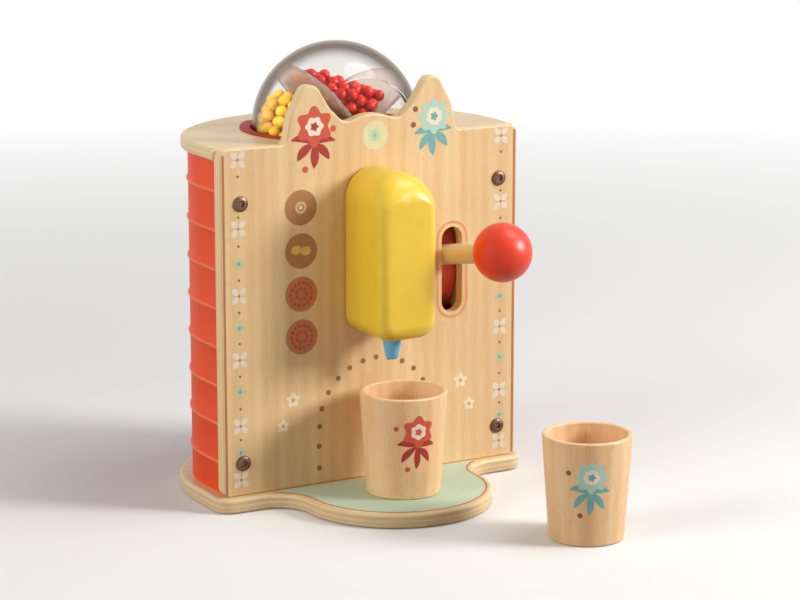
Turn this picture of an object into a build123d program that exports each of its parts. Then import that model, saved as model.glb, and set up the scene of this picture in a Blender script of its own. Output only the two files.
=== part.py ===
from build123d import *
import os
from math import ceil, cos, degrees, hypot, radians, sin, sqrt, tan

# Toy coffee maker of plywood, with a clear bead drum on top, a sliding brew head, a rattling lever and two
# cups. Millimetres, +Z up. The origin is on the underside of the base, midway between the sides, in the
# plane of the front panel's face. -Y is the front, where the cups stand.

# ---- driving sizes ----
base_thickness = 9.0
base_side_lip = 4.0         # how far the base stands out on each side of the panel
base_front_lip = 5.0        # how far the base stands out in front of the panel
base_back_lip = 2.0         # how far the base stands out behind the top plate
base_corner_radius = 10.0
plate_edge_radius = 2.0
tray_radius = 56.0
tray_centre_y = -26.0
tray_blend_radius = 20.0

panel_width = 194.0
panel_height = 200.0
panel_thickness = 7.0
panel_corner_radius = 5.0
panel_edge_radius = 1.0
crest_foot_x = 55.5          # crest, as (x, height above the panel's top edge) of its corners before rounding
ear_shoulder = (52.5, 16.0)
ear_point = (40.0, 38.5)
ear_knee = (27.0, 18.0)
crest_valley = (17.5, 8.8)
crest_middle = (0.0, 15.6)
crest_foot_radius = 4.0
ear_shoulder_radius = 20.0
ear_point_radius = 6.3
ear_knee_radius = 20.0
crest_valley_radius = 8.0
crest_middle_radius = 30.0

top_thickness = 7.0
top_side_lip = 1.0          # how far the top plate stands out on each side of the panel
back_bow = 84.0             # depth of the rounded back of base and top plate
wall_inset = 4.0            # top plate's edge to the wall's outer face
wall_thickness = 3.0
rib_count = 8
rib_end_gap = 18.0          # wall's upper and lower edge to the nearest rib
rib_height = 3.0
rib_depth = 1.0

post_width = 15.0
post_depth = 15.0
rear_post_width = 30.0
rear_post_depth = 14.0
screw_head_radius = 4.5
screw_head_height = 1.6
screw_radius = 1.75
screw_length = 22.0
screw_inset_x = 12.5        # panel edge to screw
top_screw_drop = 31.0       # panel's top edge to the upper screws
low_screw_rise = 19.0       # panel's lower edge to the lower screws
dowel_radius = 3.0
dowel_length = 14.0
dowel_in_top = 4.0
small_screw_radius = 1.25
small_screw_head_radius = 2.5
small_screw_head_height = 1.25

drum_radius = 49.5
drum_end_radius = 32.0
drum_half_length = 35.5
drum_wall = 2.2
drum_gap_front = 1.5        # drum to the back of the panel
drum_rise = 1.0             # drum axis above the top plate
vane_thickness = 2.0
vane_hub_radius = 7.0
vane_first_angle = 40.0
chamber_count = 4
bead_diameter = 7.0
opening_margin = 6.5        # drum's widest ring to the round edge of the opening
bearing_gap = 2.5           # click wheel to the straight back edge of the opening
trim_gap = 1.2              # trim to drum
trim_proud = 0.8
axle_radius = 4.0
axle_in_panel = 4.0
axle_in_block = 6.0
washer_radius = 9.0
washer_thickness = 1.2
click_radius = 13.0
click_lobes = 12
click_lobe_depth = 1.2
click_thickness = 4.0
click_spring_width = 5.0
click_spring_thickness = 0.8
click_block_width = 10.0
click_block_height = 6.0
click_screw_length = 5.0
click_reach = 4.0           # spring's free end past the wheel's lowest point
bearing_block_depth = 9.0
bearing_block_radius = 12.0
bearing_foot_half_width = 24.0
bearing_foot_thickness = 6.0

head_width = 37.0
head_depth = 43.0
head_drop = 16.0            # panel's top edge to the block's top
head_over_cup = 29.5        # cup's rim to the block's underside
head_travel = 13.5
head_crown_radius = 17.5
head_foot_radius = 12.0
head_edge_radius = 11.0
tenon_drop = 30.4           # block's top to the tenon's top
tenon_width = 9.6
tenon_height = 30.0
slider_width = 40.0
slider_height = 41.0
slider_over_tenon = 1.0
slider_thickness = 6.0
pad_thickness = 0.5
pad_inset = 4.0
head_screw_spacing = 16.0
head_screw_radius = 2.0
head_screw_length = 34.0
spout_radius = 6.0
spout_tip_radius = 3.5
spout_length = 14.0
spout_tip_edge = 1.5
peg_radius = 3.0
peg_length = 6.0

slot_x = 53.0
slot_width = 14.0
slot_height = 51.0
slot_drop = 82.5            # panel's top edge to the slot's middle
wheel_gap = 2.0             # lever wheel to the back of the panel
lever_rest_angle = 11.0
lever_up = -10.0            # travel from rest, in degrees about +X
lever_down = 32.0
arm_radius = 6.0
arm_start = 12.0            # pivot to the arm's inner end
arm_in_knob = 12.0          # how deep the arm sits in the knob
knob_radius = 17.0
knob_reach = 105.0          # pivot to the middle of the knob
wheel_radius = 38.0
wheel_thickness = 18.0
wheel_edge_radius = 1.5
pin_radius = 3.0
cheek_thickness = 6.0
cheek_half_height = 26.0
cheek_foot_depth = 16.0     # where the cheek is full height, behind the panel
cheek_round = 12.0          # wood left round the pin
cheek_step = 4.0            # cheek below the reed's block
notch_radius = 1.6
notch_pitch = 3.3           # between notches, round the rim
reed_thickness = 0.8
reed_width = 10.0
reed_block_depth = 12.0
reed_block_height = 12.0
reed_reach = 16.0           # pivot to the near face of the reed's block
reed_overhang = 3.0         # reed's free end past the wheel's lowest point
reed_screw_length = 9.0

cup_height = 59.5
cup_base_radius = 21.0
cup_top_radius = 25.2
cup_wall = 3.0
cup_floor = 4.0
tray_cup_y = -35.5
loose_cup_x = 58.0
loose_cup_y = -138.0

# ---- clearances ----
running = 0.05              # radial, a pin or axle in its hole
side_play = 0.3             # a sliding or turning face beside its neighbour
cheek_play = 0.6            # lever wheel to each cheek
divider_fit = 0.1           # divider and beads to the drum's wall

# ---- places worked out from these ----
panel_low = base_thickness
panel_top = panel_low + panel_height
top_low = panel_top - top_thickness
panel_back = panel_thickness
base_half_width = panel_width / 2 + base_side_lip
top_half_width = panel_width / 2 + top_side_lip
drum_y = panel_back + drum_gap_front + drum_half_length
drum_z = panel_top + drum_rise
drum_front = drum_y - drum_half_length
drum_rear = drum_y + drum_half_length
opening_radius = drum_radius + opening_margin
opening_back = drum_rear + click_thickness + bearing_gap
block_back = opening_back + bearing_block_depth
axle_end_y = opening_back + axle_in_block
wall_half_width = top_half_width - wall_inset
wall_bow = back_bow - wall_inset
rear_post_back = block_back + rear_post_depth
wall_back = rear_post_back + wall_thickness
top_depth = wall_back + wall_inset
base_depth = top_depth + base_back_lip
post_outer_x = wall_half_width - wall_thickness
post_centre_x = post_outer_x - post_width / 2
post_middle_y = panel_back + post_depth / 2
rear_post_middle_y = rear_post_back - rear_post_depth / 2
head_bottom = base_thickness + cup_height + head_over_cup
head_top = panel_top - head_drop
slot_middle_z = panel_top - slot_drop
pivot_y = panel_back + wheel_gap + wheel_radius
screw_x = panel_width / 2 - screw_inset_x
screw_z = (panel_low + low_screw_rise, panel_top - top_screw_drop)

# The drum's outline is one arc through its two ends and its widest ring. The arc's centre lies off the axis.
arc_sagitta = drum_radius - drum_end_radius
drum_arc_radius = (drum_half_length**2 + arc_sagitta**2) / (2 * arc_sagitta)
drum_arc_offset = drum_radius - drum_arc_radius


def write(name, shape):
    """Writes one sub-part, a solid or a group of like solids, to its own file."""
    os.makedirs("parts", exist_ok=True)
    export_step(shape, f"parts/{name}.step")


def group(solids):
    return Compound(children=list(solids))


def box(x, y, z):
    """A block between two corners: x, y and z are each (low, high)."""
    size = [high - low for low, high in (x, y, z)]
    middle = [(low + high) / 2 for low, high in (x, y, z)]
    return Pos(*middle) * Box(*size)


def rod(start, end, radius):
    """A round bar between two points."""
    way = Vector(*end) - Vector(*start)
    foot = Plane(origin=start, z_dir=way.normalized())
    return foot * Cylinder(radius, way.length, align=(Align.CENTER, Align.CENTER, Align.MIN))


def along_y(x, z, y_low, y_high, radius):
    return rod((x, y_low, z), (x, y_high, z), radius)


def along_z(x, y, z_low, z_high, radius):
    return rod((x, y, z_low), (x, y, z_high), radius)


def slab(sketch, z_low, z_high):
    """A flat outline, drawn in plan, given its thickness."""
    return Pos(0, 0, z_low) * extrude(sketch, z_high - z_low)


def upright(sketch, y_low, y_high):
    """A flat outline, drawn as seen from the front, given its thickness along Y."""
    return Pos(0, y_high, 0) * Rot(90, 0, 0) * extrude(sketch, y_high - y_low)


def sideways(points, x_low, x_high):
    """A flat outline of (y, z) points, given its thickness along X."""
    face = Plane.YZ * make_face(Polyline(*points, close=True))
    return Pos(x_low, 0, 0) * extrude(face, x_high - x_low, dir=(1, 0, 0))


def round_back(half_width, front, back, bow):
    """Plan outline with straight sides and a back that is half an ellipse."""
    side_end = back - bow
    bowed = EllipticalCenterArc((0, side_end), half_width, bow, start_angle=0, arc_size=180)
    sides = Polyline(
        (-half_width, side_end), (-half_width, front), (half_width, front), (half_width, side_end)
    )
    return make_face(bowed + sides)


# ---- fasteners, whose holes the wooden pieces share ----
def panel_screw(x, z):
    """Round-headed screw through the panel into a post."""
    head = along_y(x, z, -screw_head_height, 0, screw_head_radius)
    crown = head.edges().filter_by(GeomType.CIRCLE).group_by(Axis.Y)[0]
    head = fillet(crown, screw_head_height * 0.6)
    socket = along_y(x, z, -screw_head_height, -screw_head_height / 3, screw_radius)
    return head + along_y(x, z, 0, screw_length, screw_radius) - socket


panel_screw_places = [(side * screw_x, z) for side in (-1, 1) for z in screw_z]
panel_screws = group(panel_screw(x, z) for x, z in panel_screw_places)
panel_screw_shanks = [along_y(x, z, -1, screw_length, screw_radius) for x, z in panel_screw_places]

countersink_radius = 2 * screw_radius


def base_screw(x, y):
    """Countersunk screw up through the base, its head flush below."""
    head = Pos(x, y, screw_radius / 2) * Cone(countersink_radius, screw_radius, screw_radius)
    return head + along_z(x, y, screw_radius, base_thickness + screw_length / 2, screw_radius)


base_screw_places = [(side * post_centre_x, post_middle_y) for side in (-1, 1)]
base_screw_places += [(0, rear_post_middle_y)]
base_screws = [base_screw(x, y) for x, y in base_screw_places]

dowel_places = [(side * post_centre_x, post_middle_y) for side in (-1, 1)]
dowel_places += [(0, rear_post_middle_y)]
dowel_low = top_low + dowel_in_top - dowel_length
dowels = [along_z(x, y, dowel_low, top_low + dowel_in_top, dowel_radius) for x, y in dowel_places]

# ---- base plate with its tray lobe ----
base_sketch = round_back(base_half_width, -base_front_lip, base_depth, back_bow)
base_sketch += Pos(0, tray_centre_y) * Circle(tray_radius)
base_plate = slab(base_sketch, 0, base_thickness)


def upright_edges(solid, y, x_low, x_high):
    """The edges along Z that stand at one y, between two distances from the middle."""
    return [
        edge for edge in solid.edges().filter_by(Axis.Z)
        if abs(edge.center().Y - y) < 0.1 and x_low < abs(edge.center().X) < x_high
    ]


front_corners = upright_edges(base_plate, -base_front_lip, tray_radius, 2 * base_half_width)
base_plate = fillet(front_corners, base_corner_radius)
tray_corners = upright_edges(base_plate, -base_front_lip, 0, tray_radius)
base_plate = fillet(tray_corners, tray_blend_radius)
base_rims = base_plate.edges().group_by(Axis.Z)
base_plate = fillet(base_rims[-1] + base_rims[0], plate_edge_radius)
for screw in base_screws:
    base_plate -= screw

# ---- top plate ----
top_sketch = round_back(top_half_width, panel_back, top_depth, back_bow)
opening = Pos(0, drum_y) * Circle(opening_radius)
opening &= Pos(0, (panel_back + opening_back) / 2) * Rectangle(4 * opening_radius, opening_back - panel_back)
top_plate = slab(top_sketch, top_low, panel_top)
outer_rim = [
    edge for edge in top_plate.edges().group_by(Axis.Z)[-1] + top_plate.edges().group_by(Axis.Z)[0]
    if edge.center().Y > panel_back + 0.1
]
top_plate = fillet(outer_rim, plate_edge_radius)
top_plate -= slab(opening, top_low, panel_top)
block_x = (-bearing_block_radius, bearing_block_radius)
bearing_notch = box(block_x, (opening_back, block_back), (top_low, panel_top))
top_plate -= bearing_notch
for dowel in dowels:
    top_plate -= dowel

# ---- front panel with its crest ----
crest_half = [
    ((crest_foot_x, 0), crest_foot_radius),
    (ear_shoulder, ear_shoulder_radius),
    (ear_point, ear_point_radius),
    (ear_knee, ear_knee_radius),
    (crest_valley, crest_valley_radius),
]
left_half = [((-x, rise), radius) for (x, rise), radius in reversed(crest_half)]
crest = crest_half + [(crest_middle, crest_middle_radius)] + left_half
panel_half = panel_width / 2
panel_corners = [
    (-panel_half, panel_top), (-panel_half, panel_low), (panel_half, panel_low), (panel_half, panel_top)
]
outline_points = [(x, panel_top + rise) for (x, rise), radius in crest] + panel_corners
outline_radii = [radius for point, radius in crest] + [panel_corner_radius] * len(panel_corners)
panel_sketch = make_face(FilletPolyline(*outline_points, radius=outline_radii, close=True))
lever_slot = Pos(slot_x, slot_middle_z) * SlotOverall(slot_height, slot_width, rotation=90)
tenon_top = head_top - tenon_drop
tenon_low = tenon_top - tenon_height
guide_low = tenon_low - head_travel - side_play
guide_top = tenon_top + side_play
guide_width = tenon_width + 2 * side_play
guide_slot = Pos(0, (guide_low + guide_top) / 2) * Rectangle(guide_width, guide_top - guide_low)
front_panel = upright(panel_sketch - lever_slot - guide_slot, 0, panel_back)
face_rim = front_panel.faces().sort_by(Axis.Y)[0].outer_wire().edges()
front_panel = fillet(face_rim, panel_edge_radius)
for shank in panel_screw_shanks:
    front_panel -= shank
front_panel -= along_y(0, drum_z, panel_back - axle_in_panel, panel_back, axle_radius + running)

# ---- wall, ribs and posts ----
outer_sketch = round_back(wall_half_width, panel_back, wall_back, wall_bow)
inner_sketch = round_back(
    wall_half_width - wall_thickness, panel_back, wall_back - wall_thickness, wall_bow - wall_thickness
)
rib_sketch = round_back(
    wall_half_width + rib_depth, panel_back, wall_back + rib_depth, wall_bow + rib_depth
)
wall = slab(outer_sketch - inner_sketch, base_thickness, top_low)
rib_pitch = (top_low - base_thickness - 2 * rib_end_gap) / (rib_count - 1)
for turn in range(rib_count):
    middle = base_thickness + rib_end_gap + turn * rib_pitch
    wall += slab(rib_sketch - inner_sketch, middle - rib_height / 2, middle + rib_height / 2)

side_posts = []
for side in (-1, 1):
    across = sorted((side * post_outer_x, side * (post_outer_x - post_width)))
    post = box(across, (panel_back, panel_back + post_depth), (base_thickness, top_low))
    for cut in panel_screw_shanks + base_screws + dowels:
        post -= cut
    side_posts.append(post)
rear_post = slab(inner_sketch, base_thickness, top_low) & box(
    (-rear_post_width / 2, rear_post_width / 2),
    (rear_post_back - rear_post_depth, rear_post_back),
    (base_thickness, top_low),
)
for cut in base_screws + dowels:
    rear_post -= cut


# ---- drum: two clear shells, a divider, an axle and beads ----
def drum_profile(inset):
    """Half section of the drum, drawn as (radius, along the axis), with its middle at 0."""
    half = drum_half_length - inset
    radius = drum_arc_radius - inset
    end = drum_arc_offset + sqrt(radius**2 - half**2)
    arc = ThreePointArc((end, -half), (drum_arc_offset + radius, 0), (end, half))
    return make_face(arc + Polyline((end, half), (0, half), (0, -half), (end, -half)))


def drum_solid(inset):
    """Solid of the drum's outline, turned round the drum's axis."""
    profile = Plane.XY * drum_profile(inset)
    return Pos(0, drum_y, drum_z) * revolve(profile, Axis.Y)


drum_hollow = drum_solid(drum_wall)
drum_shell = drum_solid(0) - drum_hollow
drum_shell -= along_y(0, drum_z, drum_front - 1, drum_rear + 1, axle_radius)
reach = 2 * drum_radius
front_half = box((-reach, reach), (drum_front - 1, drum_y), (drum_z - reach, drum_z + reach))
clear_shell_front = drum_shell & front_half
clear_shell_rear = drum_shell - front_half

drum_divider = along_y(0, drum_z, drum_front, drum_rear, vane_hub_radius)
for turn in range(chamber_count):
    vane_angle = vane_first_angle + turn * 360 / chamber_count
    vane = box((0, drum_radius), (drum_front, drum_rear), (-vane_thickness / 2, vane_thickness / 2))
    drum_divider += Pos(0, 0, drum_z) * Rot(0, -vane_angle, 0) * vane
drum_divider &= drum_solid(drum_wall + divider_fit)
drum_divider -= along_y(0, drum_z, drum_front - 1, drum_rear + 1, axle_radius)

drum_axle = along_y(0, drum_z, panel_back - axle_in_panel + side_play, axle_end_y - side_play, axle_radius)
front_washer = along_y(0, drum_z, drum_front - washer_thickness, drum_front, washer_radius)
front_washer -= drum_axle

click_wheel = along_y(0, drum_z, drum_rear, drum_rear + click_thickness, click_radius)
for turn in range(click_lobes):
    lobe_angle = radians((turn + 0.5) * 360 / click_lobes)
    lobe_out = click_radius + click_lobe_depth
    valley = along_y(
        lobe_out * cos(lobe_angle), drum_z + lobe_out * sin(lobe_angle),
        drum_rear - 1, drum_rear + click_thickness + 1, 2 * click_lobe_depth,
    )
    click_wheel -= valley
click_wheel -= drum_axle


def beads(chamber, fill_level, lean):
    """Round beads in closest packing, kept inside one chamber and below a sloping line.

    The line passes fill_level above the drum's axis and leans by the given angle about Y.
    """
    step = bead_diameter + 0.04
    bead_radius = bead_diameter / 2
    wall_reach = drum_arc_radius - drum_wall - divider_fit - bead_radius
    end_reach = drum_half_length - drum_wall - divider_fit - bead_radius
    vane_reach = vane_thickness / 2 + divider_fit + bead_radius
    start = radians(vane_first_angle + chamber * 360 / chamber_count)
    floor_way = (cos(start), sin(start))
    side_way = (-sin(start), cos(start))
    row_depth = step * sqrt(3) / 2
    layer_height = step * sqrt(2 / 3)
    count = ceil(drum_radius / row_depth)
    solids = []
    for layer in range(count + 2):
        for row in range(-count, count + 1):
            for place in range(count + 2):
                # Layers stack away from the vane below, rows run along the drum's axis.
                shift = (layer % 2) * row_depth / 3
                along = vane_reach + (place + (row % 2) / 2 + (layer % 2) / 2) * step
                across = vane_reach + layer * layer_height
                y = row * row_depth + shift
                x = along * floor_way[0] + across * side_way[0]
                z = along * floor_way[1] + across * side_way[1]
                radius = hypot(x, z)
                in_shell = hypot(radius - drum_arc_offset, y) < wall_reach and abs(y) < end_reach
                off_hub = radius > vane_hub_radius + divider_fit + bead_radius
                below = z + x * tan(radians(lean)) < fill_level - bead_radius
                if in_shell and off_hub and below:
                    solids.append(Pos(x, drum_y + y, drum_z + z) * Sphere(bead_radius))
    return group(solids)


# ---- red trim on each side of the opening ----
trim_middle = slab(opening, top_low, panel_top + trim_proud)
drum_room = Pos(drum_arc_offset, drum_y) * Circle(drum_arc_radius + trim_gap)
trim_right = trim_middle - slab(drum_room, top_low, panel_top + trim_proud)
trim_right &= box((drum_arc_offset + 1, reach), (0, reach * 2), (0, panel_top + 10))
trim_left = mirror(trim_right, Plane.YZ)

# ---- rear bearing block, click spring and their screws ----
block_sketch = Pos(0, drum_z) * Circle(bearing_block_radius)
block_sketch += Pos(0, (top_low + drum_z) / 2) * Rectangle(2 * bearing_block_radius, drum_z - top_low)
rear_bearing = upright(block_sketch, opening_back, block_back)
foot_low = top_low - bearing_foot_thickness
rear_bearing += box(
    (-bearing_foot_half_width, bearing_foot_half_width), (opening_back, block_back), (foot_low, top_low)
)
rear_bearing -= along_y(0, drum_z, opening_back, axle_end_y, axle_radius + running)
foot_screw_x = (bearing_foot_half_width + bearing_block_radius) / 2
foot_screw_y = opening_back + bearing_block_depth / 2


def screw_from_below(x, y, z_head, length):
    """Small flat-headed screw, its head against a face that looks down."""
    head = along_z(x, y, z_head - small_screw_head_height, z_head, small_screw_head_radius)
    return head + along_z(x, y, z_head, z_head + length, small_screw_radius)


def screw_from_above(x, y, z_head, length):
    """The same screw, its head on a face that looks up."""
    head = along_z(x, y, z_head, z_head + small_screw_head_height, small_screw_head_radius)
    return head + along_z(x, y, z_head - length, z_head, small_screw_radius)


foot_screw_length = bearing_foot_thickness + top_thickness / 2
foot_screws = [
    screw_from_below(side * foot_screw_x, foot_screw_y, foot_low, foot_screw_length) for side in (-1, 1)
]
click_top = drum_z - click_radius - side_play
click_low = click_top - click_spring_thickness
click_y = (drum_rear + side_play, drum_rear + side_play + click_spring_width)
click_block_x = (-bearing_foot_half_width, -bearing_foot_half_width + click_block_width)
click_block = box(click_block_x, (click_y[0], opening_back), (click_low - click_block_height, click_low))
click_spring = box((click_block_x[0], click_reach), click_y, (click_low, click_top))
click_screw = screw_from_above(sum(click_block_x) / 2, sum(click_y) / 2, click_top, click_screw_length)
for screw in foot_screws:
    top_plate -= screw
    rear_bearing -= screw
click_block -= click_screw
click_spring -= click_screw

# ---- brew head with its spout, its tenon through the panel and the slider behind it ----
head_back = -side_play
pad_y = (head_back - pad_thickness, head_back)
head_y = (pad_y[0] - head_depth, pad_y[0])
brew_head = box((-head_width / 2, head_width / 2), head_y, (head_bottom, head_top))
shoulders = brew_head.edges().filter_by(Axis.Y).group_by(Axis.Z)[-1]
brew_head = fillet(shoulders, head_crown_radius)
feet = brew_head.edges().filter_by(Axis.Y).group_by(Axis.Z)[0]
brew_head = fillet(feet, head_foot_radius)
front_rim = brew_head.faces().sort_by(Axis.Y)[0].outer_wire().edges()
brew_head = fillet(front_rim, head_edge_radius)
spout_y = (head_y[0] + head_y[1]) / 2
spout = Pos(0, spout_y, head_bottom - spout_length / 2) * Cone(spout_tip_radius, spout_radius, spout_length)
spout = fillet(spout.edges().group_by(Axis.Z)[0], spout_tip_edge)
spout_peg = along_z(0, spout_y, head_bottom, head_bottom + peg_length, peg_radius)
spout += spout_peg
brew_head -= spout_peg
felt_pad = box(
    (-head_width / 2 + pad_inset, head_width / 2 - pad_inset),
    pad_y,
    (head_bottom + pad_inset, head_top - head_crown_radius - pad_inset),
)
slider_y = (panel_back + side_play, panel_back + side_play + slider_thickness)
slider_top = tenon_top + slider_over_tenon
head_tenon = box(
    (-tenon_width / 2, tenon_width / 2), (pad_y[0], slider_y[0]), (tenon_low, tenon_top)
)
felt_pad -= head_tenon
head_slider = box((-slider_width / 2, slider_width / 2), slider_y, (slider_top - slider_height, slider_top))


def head_screw(z):
    """Screw from behind through slider and tenon into the brew head."""
    tip = slider_y[1] - head_screw_length
    head = along_y(0, z, slider_y[1], slider_y[1] + head_screw_radius, 2 * head_screw_radius)
    return head + along_y(0, z, tip, slider_y[1], head_screw_radius)


tenon_middle = (tenon_low + tenon_top) / 2
head_screws = [head_screw(tenon_middle + side * head_screw_spacing / 2) for side in (-1, 1)]
for screw in head_screws:
    brew_head -= screw
    head_tenon -= screw
    head_slider -= screw

# ---- lever: wheel behind the slot, arm through it and knob ----
pivot = (slot_x, pivot_y, slot_middle_z)
arm_way = (0, -cos(radians(lever_rest_angle)), sin(radians(lever_rest_angle)))


def on_arm(distance):
    return tuple(pivot[i] + distance * arm_way[i] for i in range(3))


wheel_x = (slot_x - wheel_thickness / 2, slot_x + wheel_thickness / 2)
arm_end = knob_reach - knob_radius + arm_in_knob
lever_arm = rod(on_arm(arm_start), on_arm(arm_end), arm_radius)
lever_knob = Pos(*on_arm(knob_reach)) * Sphere(knob_radius) - lever_arm
lever_wheel = rod((wheel_x[0], pivot_y, slot_middle_z), (wheel_x[1], pivot_y, slot_middle_z), wheel_radius)
wheel_edges = lever_wheel.edges().filter_by(GeomType.CIRCLE)
lever_wheel = fillet(wheel_edges, wheel_edge_radius)
notch_step = degrees(notch_pitch / wheel_radius)
# The reed rides under the wheel, so the notches are those that pass the lowest point over the lever's swing.
notch_first = -90 - lever_down - notch_step
notch_last = -90 - lever_up + notch_step
for turn in range(int((notch_last - notch_first) / notch_step) + 1):
    notch_angle = radians(notch_first + turn * notch_step)
    notch_y = pivot_y + wheel_radius * cos(notch_angle)
    notch_z = slot_middle_z + wheel_radius * sin(notch_angle)
    lever_wheel -= rod((wheel_x[0] - 1, notch_y, notch_z), (wheel_x[1] + 1, notch_y, notch_z), notch_radius)
lever_wheel -= lever_arm
cheek_in = (wheel_x[0] - cheek_play, wheel_x[1] + cheek_play)
cheek_x = ((cheek_in[0] - cheek_thickness, cheek_in[0]), (cheek_in[1], cheek_in[1] + cheek_thickness))
pin_ends = (cheek_x[0][0], cheek_x[1][1])
lever_pin = rod((pin_ends[0], pivot_y, slot_middle_z), (pin_ends[1], pivot_y, slot_middle_z), pin_radius)
lever_wheel -= rod(
    (wheel_x[0] - 1, pivot_y, slot_middle_z), (wheel_x[1] + 1, pivot_y, slot_middle_z), pin_radius + running
)

reed_top = slot_middle_z - wheel_radius - side_play
reed_low = reed_top - reed_thickness
reed_block_y = (pivot_y + reed_reach, pivot_y + reed_reach + reed_block_depth)
reed_block_z = (reed_low - reed_block_height, reed_low)
reed_block = box(cheek_in, reed_block_y, reed_block_z)
rattle_reed = box(
    (slot_x - reed_width / 2, slot_x + reed_width / 2),
    (pivot_y - reed_overhang, reed_block_y[1]),
    (reed_low, reed_top),
)
reed_screw = screw_from_above(slot_x, sum(reed_block_y) / 2, reed_top, reed_screw_length)
reed_block -= reed_screw
rattle_reed -= reed_screw

cheek_outline = [
    (panel_back, slot_middle_z - cheek_half_height),
    (panel_back, slot_middle_z + cheek_half_height),
    (panel_back + cheek_foot_depth, slot_middle_z + cheek_half_height),
    (pivot_y + cheek_round, slot_middle_z + cheek_round),
    (reed_block_y[1], slot_middle_z - cheek_round),
    (reed_block_y[1], reed_block_z[0]),
    (reed_block_y[0] - cheek_step, reed_block_z[0]),
    (pivot_y - cheek_round, slot_middle_z - cheek_half_height),
]
cheeks = [sideways(cheek_outline, *span) - lever_pin for span in cheek_x]


# ---- cups ----
def cup(x, y, z):
    """Turned cup with straight sloping sides and a rounded rim."""
    outline = make_face(Polyline(
        (0, 0), (cup_base_radius, 0), (cup_top_radius, cup_height),
        (cup_top_radius - cup_wall, cup_height), (cup_base_radius - cup_wall, cup_floor), (0, cup_floor),
        close=True,
    ))
    body = revolve(Plane.XZ * outline, Axis.Z)
    rim = body.edges().filter_by(GeomType.CIRCLE).group_by(Axis.Z)
    body = fillet(rim[-1], cup_wall / 3)
    foot = body.edges().filter_by(GeomType.CIRCLE).group_by(Axis.Z)[0]
    return Pos(x, y, z) * fillet(foot, 1.2)


write("base_plate", base_plate)
write("front_panel", front_panel)
write("top_plate", top_plate)
write("curved_wall", wall)
write("left_post", side_posts[0])
write("right_post", side_posts[1])
write("rear_post", rear_post)
write("panel_screws", panel_screws)
write("base_screws", group(base_screws))
write("top_dowels", group(dowels))
write("trim_left", trim_left)
write("trim_right", trim_right)
write("rear_bearing", rear_bearing)
write("bearing_screws", group(foot_screws))
write("click_block", click_block)
write("click_spring", click_spring)
write("click_screw", click_screw)
write("clear_shell_front", clear_shell_front)
write("clear_shell_rear", clear_shell_rear)
write("drum_divider", drum_divider)
write("drum_axle", drum_axle)
write("front_washer", front_washer)
write("click_wheel", click_wheel)
write("red_beads", beads(0, 31.0, 24.0))
write("yellow_beads", beads(1, 25.0, 0.0))
write("brown_beads", beads(2, -24.0, 0.0))
write("green_beads", beads(3, -12.0, 0.0))
write("brew_head", brew_head)
write("spout", spout)
write("felt_pad", felt_pad)
write("head_tenon", head_tenon)
write("head_slider", head_slider)
write("head_screws", group(head_screws))
write("lever_wheel", lever_wheel)
write("lever_arm", lever_arm)
write("lever_knob", lever_knob)
write("lever_pin", lever_pin)
write("left_cheek", cheeks[0])
write("right_cheek", cheeks[1])
write("rattle_reed", rattle_reed)
write("reed_block", reed_block)
write("reed_screw", reed_screw)
write("tray_cup", cup(0, tray_cup_y, base_thickness))
write("loose_cup", cup(loose_cup_x, loose_cup_y, 0))
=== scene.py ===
"""A wooden toy coffee maker with two cups: its woods, paints and prints, the clear drum and its beads.

The frame's axes are +Z up and -Y to the front, where the cups stand. Sizes are millimetres times mm.
"""

import bpy
import numpy as np
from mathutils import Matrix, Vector


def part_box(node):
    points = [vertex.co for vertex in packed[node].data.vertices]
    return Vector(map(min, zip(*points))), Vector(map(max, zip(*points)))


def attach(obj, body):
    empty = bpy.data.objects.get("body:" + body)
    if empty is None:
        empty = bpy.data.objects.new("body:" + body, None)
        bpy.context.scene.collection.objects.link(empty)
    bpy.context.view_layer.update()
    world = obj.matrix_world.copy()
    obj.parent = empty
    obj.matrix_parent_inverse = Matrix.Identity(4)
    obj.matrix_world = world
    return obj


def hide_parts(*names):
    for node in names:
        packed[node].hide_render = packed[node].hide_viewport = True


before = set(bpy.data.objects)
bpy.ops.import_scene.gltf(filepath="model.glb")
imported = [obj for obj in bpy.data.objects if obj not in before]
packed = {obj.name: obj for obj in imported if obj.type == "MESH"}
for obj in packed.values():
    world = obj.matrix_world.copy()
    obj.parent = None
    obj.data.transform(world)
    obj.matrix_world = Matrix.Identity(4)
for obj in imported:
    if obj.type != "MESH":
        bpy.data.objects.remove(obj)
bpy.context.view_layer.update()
mm = 0.001

# ---- base plate ----
# Birch plywood, 9 mm thick, sawn with a round tray lobe in front. Its edge is sanded round and the whole plate
# is dipped in clear satin lacquer, so the plies show as fine lines all the way round.
base_top = 9 * mm
base_ply = 1.5 * mm


def linear(code):
    """Linear RGBA of an sRGB hex code: the low part is divided by 12.92, the rest follows the 2.4 power."""
    shown = np.array([int(code[i:i + 2], 16) for i in (1, 3, 5)]) / 255
    channels = np.where(shown <= 0.04045, shown / 12.92, ((shown + 0.055) / 1.055) ** 2.4)
    return (*channels.tolist(), 1.0)


def feed(node, sockets):
    """Sets a node's inputs. A value is a constant, an output, or a node that gives its first output."""
    for name, value in sockets.items():
        if isinstance(value, bpy.types.Node):
            value = value.outputs[0]
        if isinstance(value, bpy.types.NodeSocket):
            node.id_data.links.new(value, node.inputs[name])
        else:
            node.inputs[name].default_value = value


def add(tree, kind, sockets=None, **settings):
    """Adds a node with these settings and feeds its inputs."""
    node = tree.nodes.new(kind)
    for name, value in settings.items():
        setattr(node, name, value)
    feed(node, sockets or {})
    return node


def new_finish(name):
    """A new material: itself, its node tree and its Principled shader, which feeds the output."""
    material = bpy.data.materials.new(name)
    material.use_nodes = True
    tree = material.node_tree
    tree.nodes.clear()
    shader = add(tree, "ShaderNodeBsdfPrincipled")
    add(tree, "ShaderNodeOutputMaterial", {"Surface": shader})
    return material, tree, shader


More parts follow.
